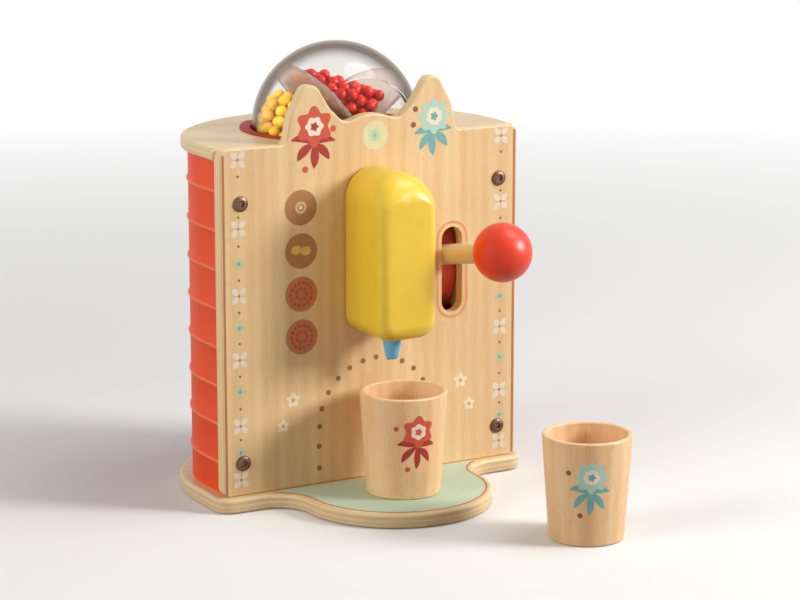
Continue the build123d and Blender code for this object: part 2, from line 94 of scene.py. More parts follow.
def dress(material, *names):
    """Gives CAD nodes their finish."""
    for name in names:
        for place in packed[name].material_slots:
            place.material = material


def wood(name, pale, warm, grain_axis, band=14 * mm, ply_axis=None, ply=0.0):
    """Lacquered wood, its grain along one axis, in tones between pale and warm.

    Tone is a noise of the band's width, stretched 22 times along the grain. Growth lines are waves 9 mm apart,
    bent by a slow noise; a wave repeats every 0.315 m / scale. Fibres are a noise 0.7 mm wide, 1.4 to the
    millimetre, as coarse as a render shows. Flecks are the highest peaks of a noise as wide and 4 mm long.
    Where the surface turns away from ply_axis it shows the plies, with pores 1.4 mm wide.
    """
    grain_stretch, line_scale = 22, 0.315 / (9 * mm)
    fibre_scale, fleck_scale, pore_scale = 1.4 / mm, 1 / (4 * mm), 0.7 / mm
    material, tree, shader = new_finish(name)
    surface = add(tree, "ShaderNodeTexCoord")
    where = surface.outputs["Object"]
    stretch = [1.0, 1.0, 1.0]
    stretch[grain_axis] = 1 / grain_stretch
    along = add(tree, "ShaderNodeMapping", {"Vector": where, "Scale": stretch})
    tone = add(tree, "ShaderNodeTexNoise", {"Vector": along, "Scale": 1 / band, "Detail": 2.0})
    lines = add(
        tree, "ShaderNodeTexWave",
        {"Vector": along, "Scale": line_scale, "Distortion": 9.0, "Detail": 2.0, "Detail Scale": 0.6},
        bands_direction="X" if grain_axis != 0 else "Y",
    )
    fibre = add(tree, "ShaderNodeTexNoise", {"Vector": along, "Scale": fibre_scale, "Detail": 1.0})
    stretch = [fibre_scale] * 3
    stretch[grain_axis] = fleck_scale
    fleck_place = add(tree, "ShaderNodeMapping", {"Vector": where, "Scale": stretch})
    fleck = add(tree, "ShaderNodeTexNoise", {"Vector": fleck_place, "Scale": 1.0, "Detail": 0.0})
    peaks = add(
        tree, "ShaderNodeMapRange", {"Value": fleck, "From Min": 0.64, "From Max": 0.76, "To Max": 0.18},
    )
    mixed = add(tree, "ShaderNodeMath", {0: lines.outputs["Fac"], 1: 0.16, 2: 0.0}, operation="MULTIPLY_ADD")
    for noise, share in ((fibre, 0.5), (tone, 0.8)):
        mixed = add(tree, "ShaderNodeMath", {0: noise, 1: share, 2: mixed}, operation="MULTIPLY_ADD")
    shade = add(tree, "ShaderNodeMapRange", {"Value": mixed, "From Min": 0.38, "From Max": 1.08})
    plain = add(
        tree, "ShaderNodeMix", {"Factor": shade, "A": linear(warm), "B": linear(pale)}, data_type="RGBA",
    )
    colour = add(
        tree, "ShaderNodeMix", {"Factor": peaks, "A": plain.outputs["Result"], "B": linear(warm)},
        data_type="RGBA", blend_type="MULTIPLY",
    )
    if ply_axis is not None:
        spots = add(tree, "ShaderNodeSeparateXYZ", {"Vector": where})
        facing = add(tree, "ShaderNodeSeparateXYZ", {"Vector": surface.outputs["Normal"]})
        turned = add(tree, "ShaderNodeMath", {0: facing.outputs[ply_axis]}, operation="ABSOLUTE")
        edge = add(tree, "ShaderNodeMapRange", {"Value": turned, "From Min": 0.75, "From Max": 0.55})
        layer = add(tree, "ShaderNodeMath", {0: spots.outputs[ply_axis], 1: ply}, operation="PINGPONG")
        layer_tone = add(tree, "ShaderNodeMapRange", {
            "Value": layer, "From Min": ply * 0.4, "From Max": ply * 0.6, "To Min": 0.3, "To Max": 0.75,
        })
        pores = add(tree, "ShaderNodeTexNoise", {"Vector": where, "Scale": pore_scale})
        rough_tone = add(tree, "ShaderNodeMath", {0: pores, 1: 0.4, 2: layer_tone}, operation="MULTIPLY_ADD")
        plies = add(
            tree, "ShaderNodeMix", {"Factor": rough_tone, "A": linear(warm), "B": linear(pale)},
            data_type="RGBA",
        )
        colour = add(
            tree, "ShaderNodeMix",
            {"Factor": edge, "A": colour.outputs["Result"], "B": plies.outputs["Result"]}, data_type="RGBA",
        )
    sheen = add(tree, "ShaderNodeMapRange", {"Value": fibre, "To Min": 0.5, "To Max": 0.36})
    relief = add(tree, "ShaderNodeBump", {"Height": fibre, "Strength": 0.12, "Distance": 0.3 * mm})
    feed(shader, {
        "Base Color": colour.outputs["Result"], "Roughness": sheen, "Normal": relief, "IOR": 1.5,
        "Coat Weight": 0.2, "Coat Roughness": 0.25,
    })
    return material


# Birch plywood under satin lacquer: pale and quiet, with soft long bands and a thin gleam.
birch_flat = wood("birch_ply_flat", "#E8CD9F", "#D0AA76", 0, 18 * mm, ply_axis=2, ply=base_ply)
dress(birch_flat, "base_plate")

# ---- print on the tray ----
# Pale mint ink screened over the whole round lobe, with a fine brick-red line just inside its sanded edge.
# The ink is thin, so the grain under it still shows.
lobe_middle = np.array([0.0, -26.0]) * mm
lobe_radius = 52.6 * mm
throat_middle = np.array([76.0, -25.0]) * mm
throat_radius = 23.4 * mm
low_ink, mid_ink, high_ink, top_ink = 0.04 * mm, 0.085 * mm, 0.13 * mm, 0.175 * mm


def round_about(angle):
    """The unit vector (cos a, sin a) at each angle a."""
    return np.stack((np.cos(angle), np.sin(angle)), -1)


def grid_faces(rows, columns, closed=True, ring=False, flipped=False):
    """Quads between neighbours in rows of points. Closed rows, and a ring of rows, run back to their start."""
    here = np.arange(columns if closed else columns - 1)
    after = (here + 1) % columns
    start = np.arange(rows if ring else rows - 1)[:, None] * columns
    following = (start + columns) % (rows * columns)
    quads = np.stack((start + here, start + after, following + after, following + here), 2)
    return quads[..., [0, 3, 2, 1] if flipped else [0, 1, 2, 3]].reshape(-1, 4).tolist()


def ribbon(path, width, closed=False):
    """Points and faces of a flat line along a path of (n, 2) points.

    The point at place t and side s, one of -1, 0 and 1, is path(t) + s * width(t) / 2 * its left normal.
    """
    way = np.roll(path, -1, 0) - np.roll(path, 1, 0) if closed else np.gradient(path, axis=0)
    way = way / np.linalg.norm(way, axis=1, keepdims=True)
    left = np.stack((-way[:, 1], way[:, 0]), 1)
    half = (np.zeros(len(path)) + width)[:, None] / 2
    return np.concatenate((path - half * left, path, path + half * left)), grid_faces(3, len(path), closed)


def rosette(middle, radius, petals=0, depth=0.0, turn=0.0, hole=0.0, rings=1, sides=48):
    """Points and faces of a flat round motif, or of a ring if it has a hole.

    The point at angle a and share s is middle + s * R(a) * (cos a, sin a), where s runs from the hole to 1 and
    R(a) = radius * (1 + depth * cos(petals * (a - turn))).
    """
    angle = np.linspace(0, 2 * np.pi, sides, endpoint=False)
    rim = radius * (1 + depth * np.cos(petals * (angle - turn)))
    share = np.linspace(hole, 1, rings + 1)
    share = share if hole else share[1:]
    spokes = round_about(angle) * rim[:, None]
    points = (np.asarray(middle) + share[:, None, None] * spokes).reshape(-1, 2)
    faces = grid_faces(len(share), sides, flipped=True)
    if not hole:
        here = np.arange(sides)
        faces += np.stack((np.full(sides, len(points)), here, (here + 1) % sides), 1).tolist()
        points = np.concatenate((points, np.asarray(middle, float)[None]))
    return points, faces


def join_parts(name, parts, material, body, smooth_angle=None):
    """One piece of several (points, faces), shaded smooth except across corners sharper than a given angle."""
    points, faces = [], []
    for part, part_faces in parts:
        start = sum(len(group) for group in points)
        points.append(part)
        faces += [[start + corner for corner in face] for face in part_faces]
    mesh = bpy.data.meshes.new(name)
    mesh.from_pydata(np.concatenate(points).tolist(), [], faces)
    mesh.shade_smooth()
    if smooth_angle is not None:
        mesh.set_sharp_from_angle(angle=np.radians(smooth_angle))
    mesh.materials.append(material)
    piece = bpy.data.objects.new(name, mesh)
    bpy.context.scene.collection.objects.link(piece)
    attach(piece, body)
    return piece


def screen_print(name, body, motifs, place):
    """One thin mesh of flat motifs, each (ink, lift, (points, faces)), laid on a surface by place(flat, lift).

    Each motif's ink is kept on its points as the attribute "ink". Neighbours lie a hair apart in height, in
    thirteen steps.
    """
    hair, steps = 0.003 * mm, 13
    laid = [
        (place(flat, lift + order % steps * hair), faces)
        for order, (_, lift, (flat, faces)) in enumerate(motifs)
    ]
    piece = join_parts(name, laid, screen_ink, body)
    inks = [np.tile(linear(ink), (len(flat), 1)) for ink, _, (flat, _) in motifs]
    layer = piece.data.color_attributes.new("ink", "FLOAT_COLOR", "POINT")
    layer.data.foreach_set("color", np.concatenate(inks).ravel())


# Screen ink on wood: flat and nearly matt, its colour slightly uneven where the fibres took more or less. The
# fibres are drawn 1.1 mm wide and 12 times as long, as coarse as a render shows.
screen_ink, ink_tree, ink_shader = new_finish("screen_ink")
ink_where = add(ink_tree, "ShaderNodeTexCoord").outputs["Object"]
ink_stretch = add(ink_tree, "ShaderNodeMapping", {"Vector": ink_where, "Scale": (1, 1, 1 / 12)})
ink_grain = add(ink_tree, "ShaderNodeTexNoise", {"Vector": ink_stretch, "Scale": 0.9 / mm, "Detail": 2.0})
ink_uneven = add(ink_tree, "ShaderNodeMapRange", {"Value": ink_grain, "To Min": 0.84, "To Max": 1.12})
ink_own = add(ink_tree, "ShaderNodeAttribute", attribute_name="ink").outputs["Color"]
ink_colour = add(
    ink_tree, "ShaderNodeMix", {"Factor": 1.0, "A": ink_own, "B": ink_uneven},
    data_type="RGBA", blend_type="MULTIPLY",
)
feed(ink_shader, {"Base Color": ink_colour.outputs["Result"], "Roughness": 0.5})


def on_base(flat, lift):
    """The point (u, v) at (u, v, base_top + lift)."""
    return np.column_stack((flat, np.full(len(flat), base_top + lift)))


# The inked field's edge runs along the lobe's circle and, on each side, round the throat that joins it to the
# plate's front, up to the panel. Its faces fan out from a point there.
field_half_width, field_gap = 66 * mm, 0.6 * mm
fan_middle = [0.0, -3 * mm]
throat_edge = throat_middle + throat_radius * round_about(np.radians(np.linspace(112, 180, 18)))
lobe_edge = lobe_middle + lobe_radius * round_about(np.linspace(0, -np.pi, 70)[1:-1])
field_edge = np.concatenate((throat_edge, lobe_edge, throat_edge[::-1] * [-1, 1]))[::-1]
field_points = np.concatenate((
    [[-field_half_width, -field_gap]], field_edge, [[field_half_width, -field_gap], fan_middle],
))
edge_index = np.arange(len(field_points) - 2)
field_faces = np.stack((np.full(len(edge_index), len(edge_index) + 1), edge_index, edge_index + 1), 1)
screen_print("tray_print", "cabinet", [
    ("#BAD0B8", low_ink, (field_points, field_faces.tolist())),
    ("#B9654F", mid_ink, ribbon(field_edge, 1.0 * mm)),
], on_base)

# ---- top plate ----
# Birch plywood, 7 mm thick, with a round back and the drum's opening sawn through it. Lacquered, it looks like
# the base, with wider bands.
top_ply = 1.4 * mm
birch_top = wood("birch_ply_top", "#E9D1A1", "#D4B47F", 0, 20 * mm, ply_axis=2, ply=top_ply)
dress(birch_top, "top_plate")

# ---- front panel ----
# Beech plywood, 7 mm thick, its grain upright, its outline routed with two ears and a low middle bump. The
# rounded rim is sanded before the clear lacquer. It is warmer than the birch, with upright bands.
panel_ply = 1.4 * mm
beech_panel = wood("beech_ply_panel", "#EFD4A2", "#DDAF7A", 2, 16 * mm, ply_axis=1, ply=panel_ply)
dress(beech_panel, "front_panel")

# ---- print on the front panel ----
# The panel is screen printed before it is fitted: border columns, four round drinks buttons, a dotted arch
# round the cup, blossoms on the ears and a coloured line round the lever's slot.

# Places on the panel are millimetres across from its middle and up from the base's top.
border_across, border_height = 86, 197
edge_across = 95.1
cross_rises = (194, 155, 116.5, 79.5, 41, 9.5)
flower_rises = (135, 98, 61, 25.5)
dot_rises = (184.5, 161.5, 145, 125.5, 107, 89, 70, 51, 33)
button_across, button_radius = -46.5, 10.2
button_rises = (163.5, 138.5, 113.5, 88.5)
cream, brown = "#F3E6D2", "#9A653F"
mint, leaf_green, teal = "#B5D8C6", "#86AD95", "#74AFAE"
orange_red, deep_red, gold = "#D5543A", "#A9302A", "#DDA848"
panel_motifs = []


def rising(across, up):
    """A place on the panel in metres, as (x, z)."""
    return np.array([across * mm, base_top + up * mm])


def spot(ink, lift, across, up, radius, **shape):
    """Adds a round motif to the panel's print, in millimetres."""
    panel_motifs.append((ink, lift, rosette(rising(across, up), radius * mm, **shape)))


def leaf(foot, tip, width, bow):
    """A pointed leaf, as a ribbon whose width is width * sin(pi t) ** 0.8 along a path bowed to its left."""
    t = np.linspace(0.0, 1.0, 15)[:, None]
    aside = np.array([foot[1] - tip[1], tip[0] - foot[0]])
    path = foot + (tip - foot) * t + aside * bow * np.sin(np.pi * t)
    return ribbon(path, width * np.sin(np.pi * t[:, 0]) ** 0.8)


def on_panel(flat, lift):
    """The point (u, v) at (u, -lift, v)."""
    return np.column_stack((flat[:, 0], np.full(len(flat), -lift), flat[:, 1]))


# The borders: an edge line, crosses of four petals, small four-petalled flowers and dots.
for side in (-1, 1):
    across = side * border_across
    edge_line = np.stack((rising(side * edge_across, 1.2), rising(side * edge_across, border_height)))
    panel_motifs.append(("#B77650", low_ink, ribbon(edge_line, 1.5 * mm)))
    for up in cross_rises:
        for corner in np.array([(-1, -1), (-1, 1), (1, -1), (1, 1)]) * mm:
            petal = leaf(rising(across, up) + 0.5 * corner, rising(across, up) + 4.4 * corner, 3.7 * mm, 0.0)
            panel_motifs.append(("#EBDCC6", low_ink, petal))
        spot("#B98A79", mid_ink, across, up, 0.9, sides=12)
    for up in flower_rises:
        spot("#C3C8A2", low_ink, across, up, 3.0, petals=4, depth=0.25)
        spot(leaf_green, mid_ink, across, up, 1.1, sides=12)
    for up in dot_rises:
        spot(brown, low_ink, across, up, 0.8, sides=12)

# The drinks buttons: a ring on the first, two beans on the second, rings of dots on the lower two.
for up in button_rises[:2]:
    spot("#B27B4C", low_ink, button_across, up, button_radius)
for up in button_rises[2:]:
    spot("#C27F52", low_ink, button_across, up, button_radius)
    for ring, dots in ((6.7, 14), (3.2, 7)):
        for aside, above in ring * round_about(np.linspace(0, 2 * np.pi, dots, endpoint=False)):
            spot("#CB4A36", mid_ink, button_across + aside, up + above, 1.2, sides=12)
spot("#DDBE93", mid_ink, button_across, button_rises[0], 3.6, hole=0.55)
spot(cream, mid_ink, button_across, button_rises[0], 1.2, sides=16)
for aside, above in ((-3.1, 0.8), (3.0, -0.2)):
    spot("#EFBF5C", mid_ink, button_across + aside, button_rises[1] + above, 2.9, petals=2, depth=0.12)

# The arch of dots round the tray's cup, and four small flowers beside it.
arch_across = 2
for aside, up in (
    (0, 71), (8.6, 69.7), (17.4, 66.6), (25, 61.3), (31.4, 53.6), (35.8, 44.6), (37.4, 34.2), (37.7, 22.4),
    (37.7, 9.5),
):
    for side in ((-1, 1) if aside else (1,)):
        spot(brown, low_ink, arch_across + side * aside, up, 1.6, sides=16)
for across, up, radius in ((-52.3, 52, 3.9), (-59, 37.5, 3.3), (59, 50, 4.0), (65, 35, 3.5)):
    spot("#F4E4C6", low_ink, across, up, radius, petals=5, depth=0.2, turn=0.3)
    spot(gold, mid_ink, across, up, 0.3 * radius, sides=12)

# The round motif on the crest, and a blossom over five leaves with two berries on each ear.
spot("#E3DDB0", low_ink, 1.5, 201, 8.4, petals=12, depth=0.03)
spot("#B4D9B4", mid_ink, 1.5, 201, 3.2, petals=8, depth=0.16)
spot("#8FC4A3", high_ink, 1.5, 201, 1.1, sides=16)

spot(orange_red, mid_ink, -37.5, 209, 10.2, petals=6, depth=0.17, turn=np.pi / 6)
spot(cream, high_ink, -37.5, 209, 5.4, petals=6, depth=0.1)
spot(deep_red, top_ink, -37.5, 209, 2.3, petals=5, depth=0.2)
for across, up, width, bow in (
    (-52.5, 202, 4.4, -0.15), (-48.5, 190, 5.4, -0.1), (-38, 185, 5.4, 0.05), (-28, 189.5, 5.0, 0.1),
    (-24, 200, 4.2, 0.15),
):
    panel_motifs.append((deep_red, low_ink, leaf(rising(-38, 199), rising(across, up), width * mm, bow)))
for across, up in ((-43.5, 185), (-25.5, 207)):
    spot(orange_red, low_ink, across, up, 1.9, sides=20)

spot(mint, mid_ink, 40.6, 209, 9.4, petals=8, depth=0.13)
spot(cream, high_ink, 40.6, 209, 5.2, petals=8, depth=0.08, turn=np.pi / 8)
spot(teal, top_ink, 40.6, 209, 2.2, petals=5, depth=0.2)
for across, up, width, bow in (
    (52.4, 201, 4.0, 0.15), (49.4, 191, 5.0, 0.1), (40.1, 186, 5.0, -0.05), (31.1, 190, 4.6, -0.1),
    (27.3, 199.5, 3.8, -0.15),
):
    panel_motifs.append((teal, low_ink, leaf(rising(39.6, 199.5), rising(across, up), width * mm, bow)))
for across, up in ((28.2, 214), (26.8, 205)):
    spot("#7E5A45", low_ink, across, up, 1.7, sides=16)

# The line keeps one distance from the lever's slot: two half circles joined by straight runs.
slot_middle = np.array([53.0, 126.5]) * mm
slot_half_length, slot_end_radius = 18.5 * mm, 7 * mm
line_round = (slot_end_radius + 2.8 * mm) * round_about(np.linspace(0, np.pi, 25))
slot_line = np.concatenate((
    slot_middle + [0, slot_half_length] + line_round, slot_middle - [0, slot_half_length] - line_round,
))
panel_motifs.append(("#E39A6E", low_ink, ribbon(slot_line, 1.5 * mm, closed=True)))
screen_print("panel_print", "cabinet", panel_motifs, on_panel)

# ---- panel screws ----
# Four bronzed steel furniture bolts, dome-headed with a six-sided socket. They go through the panel into the
# side posts and hold the two together.
bolt_radius, bolt_height = 4.5 * mm, 1.6 * mm
bolt_rim, dome_shoulder, dome_end = 0.3 * mm, 0.5 * mm, 62
socket_radius, socket_depth = 1.9 * mm, 1.1 * mm
socket_edge, socket_middle = 0.15 * mm, 0.02 * mm
bolt_places = [(side * 84.5 * mm, rise * mm) for side in (-1, 1) for rise in (28, 178)]


def bolt_head(x, z, sides=48):
    """A head on the panel's face, as rings of points about its axis: rim, dome, hexagon, floor of the socket.

    The hexagon's reach at angle a is socket_radius * cos(30 deg) / cos(a mod 60 deg - 30 deg).
    """
    angle = np.linspace(0, 2 * np.pi, sides, endpoint=False)
    hexagon = socket_radius * np.cos(np.pi / 6) / np.cos(angle % (np.pi / 3) - np.pi / 6)
    swell = np.radians(np.linspace(0, dome_end, 8))
    dome_reach = (bolt_radius - dome_shoulder) * np.cos(swell) + dome_shoulder
    dome_rise = bolt_rim + (bolt_height - bolt_rim) * np.sin(swell) / np.sin(swell[-1])
    reach = np.concatenate((
        np.full((1, sides), bolt_radius), np.repeat(dome_reach[:, None], sides, 1),
        [hexagon + socket_edge, hexagon, hexagon, np.full(sides, socket_middle)],
    ))
    rise = np.concatenate((
        [0.0], dome_rise, [bolt_height, bolt_height - socket_edge],
        [bolt_height - socket_depth, bolt_height - socket_depth],
    ))
    points = np.stack((
        x + reach * np.cos(angle), -np.repeat(rise[:, None], sides, 1), z + reach * np.sin(angle)
    ), 2).reshape(-1, 3)
    floor = list(range(len(points) - sides, len(points)))
    return points, grid_faces(len(rise), sides) + [floor]


# Bronzed steel: dark and warm, with soft brighter patches 2 mm wide where the bronzing is rubbed.
bronzed, bronzed_tree, bronzed_shader = new_finish("bronzed_steel")
bronzed_where = add(bronzed_tree, "ShaderNodeTexCoord").outputs["Object"]
bronzed_rub = add(bronzed_tree, "ShaderNodeTexNoise", {"Vector": bronzed_where, "Scale": 1 / (2 * mm)})
bronzed_colour = add(
    bronzed_tree, "ShaderNodeMix", {"Factor": bronzed_rub, "A": linear("#4E3B33"), "B": linear("#8A6A58")},
    data_type="RGBA",
)
feed(bronzed_shader, {"Base Color": bronzed_colour.outputs["Result"], "Metallic": 1.0, "Roughness": 0.38})
bolts = join_parts("panel_bolts", [bolt_head(x, z) for x, z in bolt_places], bronzed, "cabinet", 40)
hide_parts("panel_screws")

# ---- curved wall ----
# A thin sheet bent round the back and held between base and top plate, with eight rolled ribs that stiffen it.
# It is enamelled brick red on both faces.
wall_low, wall_high = base_top, 202 * mm
wall_front_y, wall_bend_y = 7 * mm, 32 * mm
wall_half_width, wall_bow = 94 * mm, 80 * mm
wall_thickness = 3 * mm
rib_height, rib_depth = 3 * mm, 1 * mm
rib_middles = np.linspace(wall_low + 18 * mm, wall_high - 18 * mm, 8)


def wall_track(count=120):
    """Points and outward normals in plan: straight sides, then half an ellipse (a cos t, b sin t)."""
    bend = round_about(np.linspace(0, np.pi, count))
    outward = bend / [wall_half_width, wall_bow]
    outward /= np.linalg.norm(outward, axis=1, keepdims=True)
    start, end = [[wall_half_width, wall_front_y]], [[-wall_half_width, wall_front_y]]
    track = np.concatenate((start, bend * [wall_half_width, wall_bow] + [0, wall_bend_y], end))
    return track, np.concatenate(([[1.0, 0.0]], outward, [[-1.0, 0.0]]))


def wall_section():
    """The sheet's cross section as a closed loop of (outward, height): the ribs are half waves of a cosine."""
    swell = np.linspace(-1, 1, 13)
    heights = (rib_middles[:, None] + swell * rib_height / 2).ravel()
    proud = np.tile(rib_depth * (0.5 + 0.5 * np.cos(np.pi * swell)) ** 0.7, len(rib_middles))
    return np.concatenate((
        [[0, wall_low]], np.stack((proud, heights), 1), [[0, wall_high]],
        [[-wall_thickness, wall_high], [-wall_thickness, wall_low]],
    ))


def carry(section, track, normals):
    """A closed section carried along a plan track: track(t) + out * normal(t), at the section's height."""
    plan = track[:, None, :] + section[None, :, :1] * normals[:, None, :]
    points = np.dstack((plan, np.broadcast_to(section[:, 1], plan.shape[:2]))).reshape(-1, 3)
    first = list(range(len(section)))
    last = list(range(len(points) - len(section), len(points)))
    return points, grid_faces(len(track), len(section), flipped=True) + [first[::-1], last]


# Enamel on bent sheet: brick red with a low gloss, in clouds 22 mm wide and ripples 4 mm wide. A painted
# highlight of pale orange lies along each rib's crest; it begins 1.3 mm beside a rib's middle.
wall_enamel, wall_tree, wall_shader = new_finish("brick_red_enamel")
wall_where = add(wall_tree, "ShaderNodeTexCoord").outputs["Object"]
wall_spots = add(wall_tree, "ShaderNodeSeparateXYZ", {"Vector": wall_where})
rib_pitch = float(rib_middles[1] - rib_middles[0])
rib_phase = add(
    wall_tree, "ShaderNodeMath", {0: wall_spots.outputs["Z"], 1: float(rib_middles[0]) - rib_pitch / 2},
    operation="SUBTRACT",
)
rib_cycle = add(wall_tree, "ShaderNodeMath", {0: rib_phase, 1: rib_pitch / 2}, operation="PINGPONG")
rib_near = add(wall_tree, "ShaderNodeMapRange", {
    "Value": rib_cycle, "From Min": rib_pitch / 2 - 1.3 * mm, "From Max": rib_pitch / 2 - 0.2 * mm,
})
wall_cloud = add(wall_tree, "ShaderNodeTexNoise", {"Vector": wall_where, "Scale": 0.045 / mm, "Detail": 4.0})
wall_red = add(
    wall_tree, "ShaderNodeMix", {"Factor": wall_cloud, "A": linear("#E4430F"), "B": linear("#F2531E")},
    data_type="RGBA",
)
# Painted highlight: pale orange mixed in along each rib's crest, where the rib would catch the light.
rib_painted_highlight = add(wall_tree, "ShaderNodeMath", {0: rib_near, 1: 0.65}, operation="MULTIPLY")
wall_colour = add(
    wall_tree, "ShaderNodeMix", {"Factor": rib_painted_highlight, "A": wall_red.outputs["Result"], "B": linear("#F0925F")},
    data_type="RGBA",
)
wall_grain = add(wall_tree, "ShaderNodeTexNoise", {"Vector": wall_where, "Scale": 0.26 / mm})
wall_relief = add(wall_tree, "ShaderNodeBump", {"Height": wall_grain, "Strength": 0.1, "Distance": 0.4 * mm})
feed(wall_shader, {
    "Base Color": wall_colour.outputs["Result"], "Normal": wall_relief, "Roughness": 0.5,
    "Specular IOR Level": 0.35,
})
wall_piece = join_parts("ribbed_wall", [carry(wall_section(), *wall_track())], wall_enamel, "cabinet", 50)
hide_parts("curved_wall")

# ---- trim beside the drum ----
# Two pieces of board painted red all over. They fill the top plate's opening on each side of the drum, 1.2 mm
# clear of it, and stand 0.8 mm proud of the plate.


def paint(name, main, deep, roughness, mottle=0.12 / mm, coat=0.2):
    """Opaque lacquer over sanded wood: two close tones in a slow noise, and a faint rise where fibres show.

    Mottle is one over a cloud's width, 8 mm unless given. Fibres are 1.1 mm wide and 14 times as long, as
    coarse as a render shows. The coat is a thin clear layer, smoother than the lacquer.
    """
    material, tree, shader = new_finish(name)
    where = add(tree, "ShaderNodeTexCoord").outputs["Object"]
    cloud = add(tree, "ShaderNodeTexNoise", {"Vector": where, "Scale": mottle, "Detail": 3.0})
    colour = add(
        tree, "ShaderNodeMix", {"Factor": cloud, "A": linear(deep), "B": linear(main)}, data_type="RGBA",
    )
    stretched = add(tree, "ShaderNodeMapping", {"Vector": where, "Scale": (1, 1, 1 / 14)})
    fibre = add(tree, "ShaderNodeTexNoise", {"Vector": stretched, "Scale": 0.9 / mm, "Detail": 1.0})
    relief = add(tree, "ShaderNodeBump", {"Height": fibre, "Strength": 0.06, "Distance": 0.2 * mm})
    feed(shader, {
        "Base Color": colour.outputs["Result"], "Normal": relief, "Roughness": roughness,
        "Coat Weight": coat, "Coat Roughness": roughness * 0.7,
    })
    return material


# Red lacquer on board: thin, even and nearly matt.
trim_lacquer = paint("red_trim_lacquer", "#B4210F", "#9C180B", 0.6, coat=0.0)
dress(trim_lacquer, "trim_left", "trim_right")

# ---- posts, rear bearing and dowels ----
# Solid beech, planed and left bare inside the cabinet, its grain upright. The posts carry the plates, and the
# smaller blocks hold the axle, the springs and the lever's pin.
bare_beech = wood("bare_beech", "#E6C08C", "#C99A60", 2, 10 * mm)
dress(
    bare_beech, "left_post", "right_post", "rear_post", "rear_bearing", "click_block", "left_cheek",
    "right_cheek", "reed_block", "top_dowels", "head_tenon", "head_slider",
)

# ---- clear drum ----
# Two moulded halves of clear polystyrene, cemented at the middle into one bowl-sided drum that turns on the
# axle. Its wall is 2.2 mm thick; where the eye meets it edge on, a dark brown shade is painted into its
# colour.
drum_y, drum_z = 44 * mm, 210 * mm
drum_half, drum_end, drum_widest = 35.5 * mm, 32 * mm, 49.5 * mm
drum_wall, drum_corner = 2.2 * mm, 3 * mm
axle_hole = 4.05 * mm
arc_drop = drum_widest - drum_end
arc_radius = (drum_half**2 + arc_drop**2) / (2 * arc_drop)
arc_middle = drum_widest - arc_radius


def bowl_line(inset, count):
    """A drum section as (radius, along) points: hub, flat end, rounded corner, wide arc, and back to the hub.

    The wide arc lies on a circle about (arc_middle, 0); the corner's circle touches it and the flat end.
    """
    half = drum_half - inset
    radius = arc_radius - inset
    soft = drum_corner - inset
    last = np.arcsin((half - soft) / (radius - soft))
    corner_middle = np.array([arc_middle + (radius - soft) * np.cos(last), half - soft])
    bend = corner_middle + soft * round_about(np.linspace(np.pi / 2, last, 7))
    belly = [arc_middle, 0] + radius * round_about(np.linspace(last, -last, count)[1:-1])
    flat = np.stack((np.linspace(axle_hole, corner_middle[0], 6)[:-1], np.full(5, half)), 1)
    near_end = np.concatenate((flat, bend))
    return np.concatenate((near_end, belly, near_end[::-1] * [1, -1]))


def turn_on_axle(loop, sides=144):
    """A closed (radius, along) loop turned round the drum's axis: (r cos a, along, r sin a) at angle a."""
    spokes = round_about(np.linspace(0, 2 * np.pi, sides, endpoint=False))
    x, z = spokes.T[:, :, None] * loop[:, 0]
    points = np.stack((x, drum_y + np.broadcast_to(loop[:, 1], x.shape), drum_z + z), 2).reshape(-1, 3)
    return points, grid_faces(sides, len(loop), ring=True, flipped=True)


def clear_plastic(name, tint, painted_edge_shade, roughness, clear):
    """Moulded clear plastic, with lamps let straight through it so that what is inside is lit.

    Where the wall is seen edge on, its tint is mixed toward the second tint: a painted shade standing in
    for the dark surroundings seen through the edge. What it mirrors is dimmed, so that the beads stay clear
    behind it.
    """
    material, tree, shader = new_finish(name)
    slant = add(tree, "ShaderNodeLayerWeight", {"Blend": 0.5})
    # Painted shade: the share of the darker second tint grows as the wall is seen more edge on.
    edge_shade_share = add(
        tree, "ShaderNodeMapRange", {"Value": slant.outputs["Facing"], "From Min": 0.39, "From Max": 0.66},
    )
    colour = add(
        tree, "ShaderNodeMix", {"Factor": edge_shade_share, "A": linear(tint), "B": linear(painted_edge_shade)}, data_type="RGBA",
    )
    feed(shader, {
        "Base Color": colour.outputs["Result"], "Specular Tint": linear("#A39D95"),
        "Transmission Weight": clear, "Roughness": roughness, "IOR": 1.42,
    })
    path = add(tree, "ShaderNodeLightPath")
    see_through = add(tree, "ShaderNodeBsdfTransparent", {"Color": linear(tint)})
    both = add(tree, "ShaderNodeMixShader", {0: path.outputs["Is Shadow Ray"], 1: shader, 2: see_through})
    feed(tree.get_output_node("ALL"), {"Surface": both})
    return material


# Clear polystyrene: glassy and nearly colourless, with a dark brown shade painted where it is looked along.
drum_clear = clear_plastic("clear_polystyrene", "#F7F5F2", "#3A2006", 0.02, 1.0)
outer_line = bowl_line(0.0, 48)
inner_line = bowl_line(drum_wall, 40)[::-1]
drum_piece = join_parts(
    "clear_drum", [turn_on_axle(np.concatenate((outer_line, inner_line)))], drum_clear, "drum", 30
)
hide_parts("clear_shell_front", "clear_shell_rear")

# ---- divider in the drum ----
# Four vanes on a hub, moulded in translucent white. They part the drum into four chambers; their pink
# blush is a painted reflection of the red beads beside them.

# Milky polystyrene: soft and pale, it blurs what lies behind it. Its pink is a painted reflection, and it
# darkens edge on with a painted shade.
divider_milky = clear_plastic("milky_polystyrene", "#F7EAE5", "#E2CFC7", 0.2, 0.82)
dress(divider_milky, "drum_divider")

# ---- beads ----
# Glossy round beads 7 mm across, of one colour in each chamber. They lie as they fell when the drum stopped,
# in a loose heap against hull, hub and vanes.
bead_radius, bead_step = 3.5 * mm, 7.04 * mm
vane_half, hub_radius = 1 * mm, 7 * mm
fit = 0.1 * mm
first_vane = 40
bead_vane_gap = vane_half + fit + bead_radius
bead_hub_gap = hub_radius + fit + bead_radius
bead_reach = arc_radius - drum_wall - fit - bead_radius
bead_end = drum_half - drum_wall - fit - bead_radius


